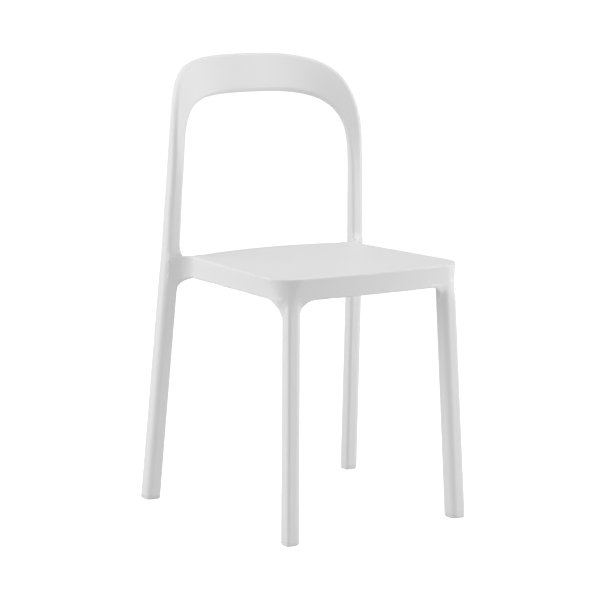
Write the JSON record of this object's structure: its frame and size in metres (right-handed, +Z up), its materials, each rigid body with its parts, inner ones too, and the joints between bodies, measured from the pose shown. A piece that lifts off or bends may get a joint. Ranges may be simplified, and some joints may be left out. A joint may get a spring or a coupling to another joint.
{
  "type": "stacking chair",
  "caption": "One-piece moulded stacking chair with a rounded open back hoop, flat seat with a shallow skirt, and splayed legs on push-in foot glides.",
  "frame": {"origin": "bottom centre of the chair's bounding box, on the floor", "axes": "+Z up, -Y towards the front of the seat, +X towards the sitter's left"},
  "size_m": [0.4638, 0.452, 0.803],
  "materials": {
    "frame_plastic": "white, fine-grained satin moulded polypropylene",
    "glide_plastic": "white, smooth moulded foot glide",
    "buffer_rubber": "pale grey, matt soft button"
  },
  "bodies": {
    "root": {"moulded_frame": "frame_plastic", "front_left_glide": "glide_plastic", "front_left_buffer": "buffer_rubber", "front_right_glide": "glide_plastic", "front_right_buffer": "buffer_rubber", "rear_left_glide": "glide_plastic", "rear_left_buffer": "buffer_rubber", "rear_right_glide": "glide_plastic", "rear_right_buffer": "buffer_rubber"}
  },
  "joints": []
}
